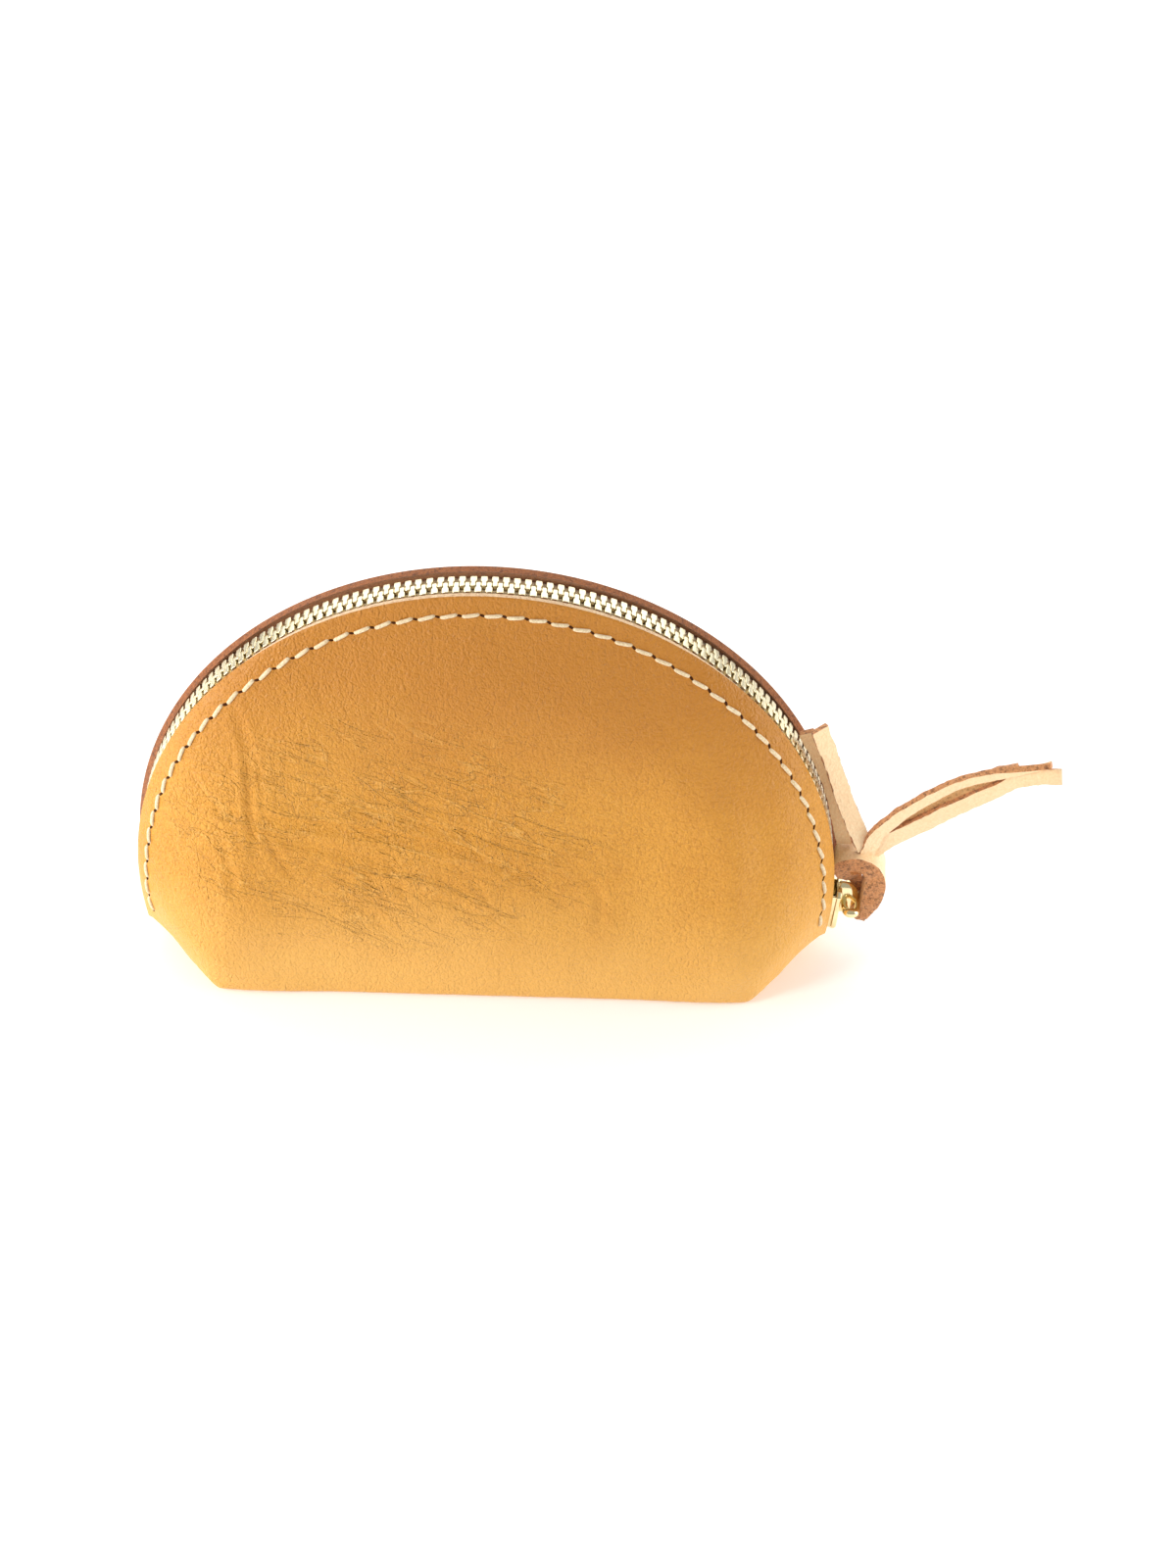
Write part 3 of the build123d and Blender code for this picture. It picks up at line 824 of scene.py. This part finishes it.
def block(name, angle, radius, y, size, depth, material, bevel):
    """Rounded metal block across the zip, such as a stop."""
    bm = bmesh.new()
    bmesh.ops.create_cube(bm, size=1.0)
    bmesh.ops.scale(bm, vec=(size[0], size[1], depth), verts=bm.verts)
    bmesh.ops.bevel(bm, geom=bm.edges[:], offset=bevel, segments=4, profile=0.5, affect="EDGES")
    v = np.array([x.co[:] for x in bm.verts])
    f = [tuple(x.index for x in face.verts) for face in bm.faces]
    bm.free()
    out, along = zip_frame(angle)
    p = (np.array([0, y, ZC]) + (radius - depth / 2 + v[:, 2])[:, None] * out
         + v[:, 1][:, None] * along)
    p[:, 1] += v[:, 0]
    obj = make_object(name, p, f, [material])
    return obj


TOP_STOP_ANGLE, TOP_STOP_R = SLIDER_ANGLE - 2.2, TOOTH_TOP - 0.3
stop_front, stop_back = (
    block(name, TOP_STOP_ANGLE, TOP_STOP_R, y, (1.3, 2.6), 2.2, m_brass, 0.4)
    for name, y in (("front_end_stop", -2.25), ("back_end_stop", 2.25)))
stop_low = block("far_end_stop", TEETH_TO + 2.6, TOOTH_TOP - 0.1, 0.7, (4.0, 3.2), 2.5, m_brass,
                 0.5)


# ---- pull strap -------------------------------------------------------------------------------
def local(out, along):
    o, t = zip_frame(SLIDER_ANGLE)
    return np.array([0, 0, ZC]) + out * o + along * t


def spline(points, count, closed=False):
    """Smooth route through points: Catmull-Rom, evenly respaced."""
    p = np.asarray(points, float)
    if closed:
        q = np.vstack([p[-1], p, p[0], p[1]])
    else:
        q = np.vstack([2 * p[0] - p[1], p, 2 * p[-1] - p[-2]])
    out = []
    for i in range(1, len(q) - 2):
        t = np.linspace(0, 1, 24, endpoint=False)[:, None]
        a, b, c, d = q[i - 1], q[i], q[i + 1], q[i + 2]
        out.append(0.5 * (2 * b + (c - a) * t + (2 * a - 5 * b + 4 * c - d) * t**2
                          + (3 * b - a - 3 * c + d) * t**3))
    out = np.vstack(out + ([] if closed else [p[-1:]]))
    if closed:
        out = np.vstack([out, out[:1]])
    s = np.r_[0, np.cumsum(np.linalg.norm(np.diff(out, axis=0), axis=1))]
    want = np.linspace(0, s[-1], count + 1 if closed else count)
    res = np.column_stack([np.interp(want, s, out[:, k]) for k in range(out.shape[1])])
    return res[:-1] if closed else res


def ribbon(name, centre, wide_dir, width, thick, closed=False, seed=1, fray=0.12,
           flesh_out=False):
    """Leather strip: grain on one face, flesh on the other, rough cut edges."""
    n = len(centre)
    t = np.roll(centre, -1, 0) - np.roll(centre, 1, 0) if closed else np.gradient(centre, axis=0)
    t /= np.linalg.norm(t, axis=1)[:, None]
    w = wide_dir - (wide_dir * t).sum(1)[:, None] * t
    w /= np.linalg.norm(w, axis=1)[:, None]
    nrm = np.cross(t, w)
    # rounded-rectangle section, counted round from the grain face
    across = (-0.98, -0.588, -0.196, 0.196, 0.588, 0.98)
    face_top = [(x, 0.5) for x in across]
    edge_r = [(1.0, 0.30), (1.0, 0.0), (1.0, -0.30)]
    face_low = [(x, -0.5) for x in across][::-1]
    edge_l = [(-1.0, -0.30), (-1.0, 0.0), (-1.0, 0.30)]
    section = face_top + edge_r + face_low + edge_l
    kinds = [0] * 5 + [2] * 4 + [1] * 5 + [2] * 4
    m = len(section)
    width = np.broadcast_to(np.asarray(width, float), n)
    thick = np.broadcast_to(np.asarray(thick, float), n)
    v = np.empty((n, m, 3))
    for j, (x, y) in enumerate(section):
        v[:, j] = centre + w * (x * width / 2)[:, None] + nrm * (y * thick)[:, None]
    flat = v.reshape(-1, 3)
    edge = np.tile(np.array([abs(x) > 0.97 for x, _ in section]), n)
    rough = noise(flat + seed * 13.0, 0.9) * fray + noise_b(flat + seed * 7.0, 2.2) * fray
    push = np.repeat(w, m, axis=0) * np.sign(np.tile([x for x, _ in section], n))[:, None]
    flat = flat + push * (rough * edge)[:, None]
    flat = flat + np.repeat(nrm, m, axis=0) * (noise(flat + seed, 3.5) * 0.06)[:, None]
    f, index = [], []
    last = n if closed else n - 1
    for i in range(last):
        i2 = (i + 1) % n
        for j in range(m):
            k = (j + 1) % m
            f.append((i * m + j, i * m + k, i2 * m + k, i2 * m + j))
            index.append(kinds[j])
    if not closed:
        f.append(tuple(range(m))[::-1])
        f.append(tuple((n - 1) * m + j for j in range(m)))
        index += [2, 2]
    faces_of = [m_strap_flesh, m_strap] if flesh_out else [m_strap, m_strap_flesh]
    obj = make_object(name, flat, f, faces_of + [m_strap_edge], index)
    obj.data.set_sharp_from_angle(angle=math.radians(55))
    return obj


BAR = 91.3
LOOP = [  # outward from the bail's bar, along the zip, thickness, width, to the back
    (-1.2, -2.1, 1.8, 6.0, 0.8), (-2.5, -1.2, 1.2, 3.4, 2.0), (-3.0, 0.6, 1.1, 2.4, 2.7),
    (-3.1, 3.4, 2.2, 2.4, 2.7), (-4.4, 6.6, 3.2, 3.6, 2.2), (-7.2, 9.5, 3.2, 6.4, 0.6),
    (-7.8, 12.4, 3.8, 7.6, 0), (-4.8, 14.0, 4.0, 8.2, 0), (-1.7, 13.2, 4.0, 8.4, 0),
    (0.2, 10.7, 4.4, 8.4, 0), (0.7, 7.6, 4.8, 8.4, 0), (0.4, 4.2, 4.8, 8.4, 0),
    (-0.1, 1.1, 3.8, 8.2, 0), (-0.9, -1.4, 2.8, 7.6, 0)]
loop_line = spline([(*(local(BAR + o, t) + (0, y, 0)), th, w) for o, t, th, w, y in LOOP], 120,
                   closed=True)
strap_loop = ribbon("strap_loop", loop_line[:, :3], np.tile([0, 1.0, 0], (len(loop_line), 1)),
                    loop_line[:, 4], loop_line[:, 3], closed=True, seed=2, fray=0.22)


def in_plane(line, tilt):
    """Width direction that lies across the route, leaning out of its plane by tilt."""
    t = np.gradient(line, axis=0)
    t /= np.linalg.norm(t, axis=1)[:, None]
    across_dir = np.cross(t, [0, 1.0, 0])
    tilt = np.broadcast_to(tilt, len(line))[:, None]
    return across_dir * np.cos(tilt) + np.array([0, 1.0, 0]) * np.sin(tilt)


def on_arc(*places):
    return np.array([(r * math.cos(math.radians(a)), 0, ZC + r * math.sin(math.radians(a)))
                     for r, a in places])


def flat_route(*places):
    return np.array([(x, 0, z) for x, z in places])


STRANDS = [  # route, widths along it, height in Y at both ends, lean at both ends, materials
    (on_arc((84.9, 4.0), (84.5, 10), (84.5, 16), (84.6, 22), (84.6, 27.8)),
     (3.9, 3.8, 3.8, 3.7), (1.4, 1.2), (0.2, 0.15), False),
    (on_arc((89.6, 4.0), (87.6, 10), (86.8, 15), (87.2, 21), (88.5, 28.4)),
     (4.2, 4.1, 4.0, 4.0), (-1.0, -0.8), (-0.35, -0.5), False),
    (flat_route((89.8, 30.0), (92.0, 35.7), (94.7, 39.1), (99.8, 44.3), (106.3, 49.2), (111.4, 52.4),
                (118.2, 54.8), (126.3, 56.7), (132.3, 58.4)),
     (4.0, 3.7, 3.2, 3.0, 3.6), (-1.0, -0.8), (-0.3, -1.0), False),
    (flat_route((88.8, 27.0), (91.8, 30.6), (97.3, 35.1), (104.2, 39.6), (108.9, 42.9),
                (119.3, 49.4), (126.3, 53.2), (135.0, 53.9)),
     (4.6, 4.4, 4.3, 4.0, 3.6), (0.2, 0.4), (-0.1, 0.7), False),
    (flat_route((95.5, 36.0), (102.5, 41.8), (108.9, 46.7), (114.1, 50.3), (119.3, 53.0),
                (125.0, 55.2)),
     (2.0, 4.0, 4.8, 3.6, 2.4), (1.5, 1.4), (0.1, 0.2), True),
]
strap_parts = [strap_loop]
for k, (route, widths, (y0, y1), (lean0, lean1), flesh) in enumerate(STRANDS):
    line = spline(route, 80)
    u = np.linspace(0, 1, len(line))
    line[:, 1] += y0 + (y1 - y0) * u
    width = np.interp(u, np.linspace(0, 1, len(widths)), widths)
    lean = np.interp(u, [0, 0.3, 0.75, 1], [lean0, lean0, lean0, lean1])
    strap_parts.append(ribbon(f"strap_strand_{k + 1}", line, in_plane(line, lean), width, 1.5,
                              seed=4 + k, fray=0.16, flesh_out=flesh))

# ---- slider, its crown and the bail --------------------------------------------------------------
VISUAL_SLIDER = SLIDER_ANGLE - 1.2       # sits hard against the end stops


def slider_place(points, angle=VISUAL_SLIDER):
    """Points given as across, along and out, set on the zip at the slider."""
    out, along = zip_frame(angle)
    p = np.asarray(points, float)
    w = np.array([0, 0, ZC]) + p[:, 2:3] * out + p[:, 1:2] * along
    w[:, 1] += p[:, 0]
    return w


def plate(outline_pts, low, high, bevel, segments=4):
    """Flat plate with rounded rims, from an outline in across and along."""
    bm = bmesh.new()
    face = bm.faces.new([bm.verts.new((x, y, low)) for x, y in outline_pts])
    top = bmesh.ops.extrude_face_region(bm, geom=[face])
    bmesh.ops.translate(bm, vec=(0, 0, high - low), verts=[
        v for v in top["geom"] if isinstance(v, bmesh.types.BMVert)])
    bmesh.ops.recalc_face_normals(bm, faces=bm.faces)
    bmesh.ops.bevel(bm, geom=bm.edges[:], offset=bevel, segments=segments, profile=0.5,
                    affect="EDGES", clamp_overlap=True)
    v = np.array([x.co[:] for x in bm.verts])
    f = [tuple(x.index for x in face.verts) for face in bm.faces]
    bm.free()
    return v, f


half = 5.8                     # half of the slider's length
upper = [(-2.6, half), (2.6, half), (3.8, half - 1.2), (3.9, 0.4), (4.5, -2.2), (4.5, -half + 1.8),
         (2.9, -half), (-2.9, -half), (-4.5, -half + 1.8), (-4.5, -2.2), (-3.9, 0.4),
         (-3.8, half - 1.2)]
lower = [(-2.0, half), (2.0, half), (2.8, half - 1), (2.8, -half + 1), (2.0, -half), (-2.0, -half),
         (-2.8, -half + 1), (-2.8, half - 1)]
post = [(0.0, -2.0), (0.9, -3.4), (0.5, -half + 0.6), (-0.5, -half + 0.6), (-0.9, -3.4)]
pieces = [plate(upper, 83.3, 84.6, 0.42), plate(lower, 77.3, 78.4, 0.35),
          plate(post, 77.8, 84.0, 0.1)]
for side in (-1, 1):
    wall = [(side * 3.05, half - 1.2), (side * 3.6, half - 1.2), (side * 3.6, -half + 1.0),
            (side * 3.05, -half + 1.0)]
    pieces.append(plate(wall[::side], 81.3, 84.0, 0.12, 2))
v, f = joined(pieces)
slider_visual = make_object("slider_plates", slider_place(v), f, [m_gold])
slider_visual.data.set_sharp_from_angle(angle=math.radians(50))


def dome(centre, radii):
    """Rounded crown: a closed ellipsoid, centre and radii as across, along and out."""
    rings, sides = 22, 36
    v, f = [(0, 0, 1)], []
    for i in range(1, rings):
        a = math.pi * i / rings
        for j in range(sides):
            b = 2 * math.pi * j / sides
            v.append((math.sin(a) * math.cos(b), math.sin(a) * math.sin(b), math.cos(a)))
    v.append((0, 0, -1))
    v = np.array(v) * radii + centre
    for j in range(sides):
        k = (j + 1) % sides
        f.append((0, 1 + j, 1 + k))
        for i in range(rings - 2):
            a0, b0 = 1 + i * sides, 1 + (i + 1) * sides
            f.append((a0 + j, b0 + j, b0 + k, a0 + k))
        last = 1 + (rings - 2) * sides
        f.append((last + j, len(v) - 1, last + k))
    return v, f


v, f = dome(np.array([-0.2, 2.4, 84.9]), np.array([1.5, 4.7, 4.0]))
v[:, 2] = np.maximum(v[:, 2], 83.7)      # stands on the upper plate
crown = make_object("slider_crown", slider_place(v), f, [m_gold])
t = np.linspace(0, 2 * np.pi, 72, endpoint=False)
# the bail is a rounded rectangle, thicker at its outer end
bx = np.sign(np.cos(t)) * np.abs(np.cos(t)) ** 0.55 * 5.2
bo = 87.3 + np.sign(np.sin(t)) * np.abs(np.sin(t)) ** 0.7 * 1.65
ring_pts = np.stack([bx, np.zeros_like(t), bo], 1)
bail_v, bail_f = tube(slider_place(ring_pts, SLIDER_ANGLE), 0.80 + 0.35 * np.cos(t) ** 4, 14,
                      up=zip_frame(SLIDER_ANGLE)[1], closed=True)
bail = make_object("pull_ring", bail_v, bail_f, [m_gold])
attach(slider_visual, "slider")
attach(crown, "slider")
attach(bail, "bail")
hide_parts("slider_body")
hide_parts("slider_bridge")
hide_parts("pull_bail")

# ---- what each piece rides on and stands for ------------------------------------------------------
for obj in (body_back, needle_back, holes_back, bobbin_back, teeth_back, tape_back, bead_back,
            stop_back, stop_low):
    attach(obj, "back")
for obj in (body_front, needle_front, holes_front, bobbin_front, teeth_front, tape_front,
            bead_front, stop_front):
    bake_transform(obj)
for obj in strap_parts:
    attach(obj, "strap")

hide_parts("front_panel", "base_panel")
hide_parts("back_panel")
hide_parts("front_needle_stitches")
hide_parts("back_needle_stitches")
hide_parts("front_bobbin_stitches")
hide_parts("back_bobbin_stitches")
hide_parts("front_teeth")
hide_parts("back_teeth")
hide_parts("front_tape")
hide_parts("back_tape")
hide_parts("front_tape_bead")
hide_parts("back_tape_bead")
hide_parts("front_top_stop")
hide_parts("back_top_stop")
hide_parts("bottom_stop")
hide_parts("pull_strap")

# ---- camera, floor and light ---------------------------------------------------------------------
AZ, EL = math.radians(2.3), math.radians(40.0)
VIEW_HEIGHT = 372.093          # what the upright frame takes in at the target, in millimetres
AIM_RIGHT, AIM_UP = 24.0, 16.907
right = Vector((math.cos(AZ), math.sin(AZ), 0))
back_dir = Vector((math.sin(AZ) * math.cos(EL), -math.cos(AZ) * math.cos(EL), math.sin(EL)))
up_dir = back_dir.cross(right)
target = Vector((0, 0, ZC)) + right * AIM_RIGHT + up_dir * AIM_UP
LENS, SENSOR = 150.0, 36.0
distance = LENS / SENSOR * VIEW_HEIGHT
cam_data = bpy.data.cameras.new("camera")
cam = bpy.data.objects.new("camera", cam_data)
bpy.context.scene.collection.objects.link(cam)
cam_data.sensor_fit = "AUTO"
cam_data.sensor_width = SENSOR
cam_data.lens = LENS
cam_data.clip_start, cam_data.clip_end = 0.05, 20.0
cam.location = (target + back_dir * distance) * MM
cam.rotation_mode = "QUATERNION"
cam.rotation_quaternion = (-back_dir).to_track_quat("-Z", "Y")
bpy.context.scene.camera = cam


def floor_material():
    s = Shader("floor")
    return s.set(Base_Color=(0.92, 0.92, 0.92), Roughness=0.9, Specular_IOR_Level=0.1,
                 Emission_Color=(1, 1, 1), Emission_Strength=0.22)


FLOOR_HALF, FLOOR_Z = 3000.0, -0.05
corners = [(x * FLOOR_HALF, y * FLOOR_HALF, FLOOR_Z) for x, y in ((-1, -1), (1, -1), (1, 1), (-1, 1))]
floor = make_object("floor", corners, [(0, 1, 2, 3)], [floor_material()])

world = bpy.data.worlds.new("studio")
bpy.context.scene.world = world
world.use_nodes = True
sky = world.node_tree.nodes["Background"]
sky.inputs["Color"].default_value = (1.0, 1.0, 1.0, 1)
sky.inputs["Strength"].default_value = 0.42


def area_light(name, place, aim, size_mm, power, color=(1, 1, 1)):
    data = bpy.data.lights.new(name, "AREA")
    data.shape = "RECTANGLE"
    data.size, data.size_y = size_mm[0] * MM, size_mm[1] * MM
    data.energy = power
    data.color = color
    obj = bpy.data.objects.new(name, data)
    bpy.context.scene.collection.objects.link(obj)
    obj.location = Vector(place) * MM
    obj.rotation_mode = "QUATERNION"
    obj.rotation_quaternion = (Vector(aim) - Vector(place)).to_track_quat("-Z", "Y")
    return obj


area_light("key", (-560, -420, 400), (0, 0, 40), (200, 200), 3.3, (1.0, 0.98, 0.95))
area_light("left", (-560, -60, 150), (-40, 0, 30), (300, 360), 1.5)
area_light("right", (560, -60, 150), (40, 0, 30), (300, 360), 1.7)
area_light("top", (0, 620, 640), (0, 0, 60), (1700, 1000), 7.5)

bpy.context.scene.view_settings.view_transform = "Standard"
bpy.context.scene.view_settings.look = "None"
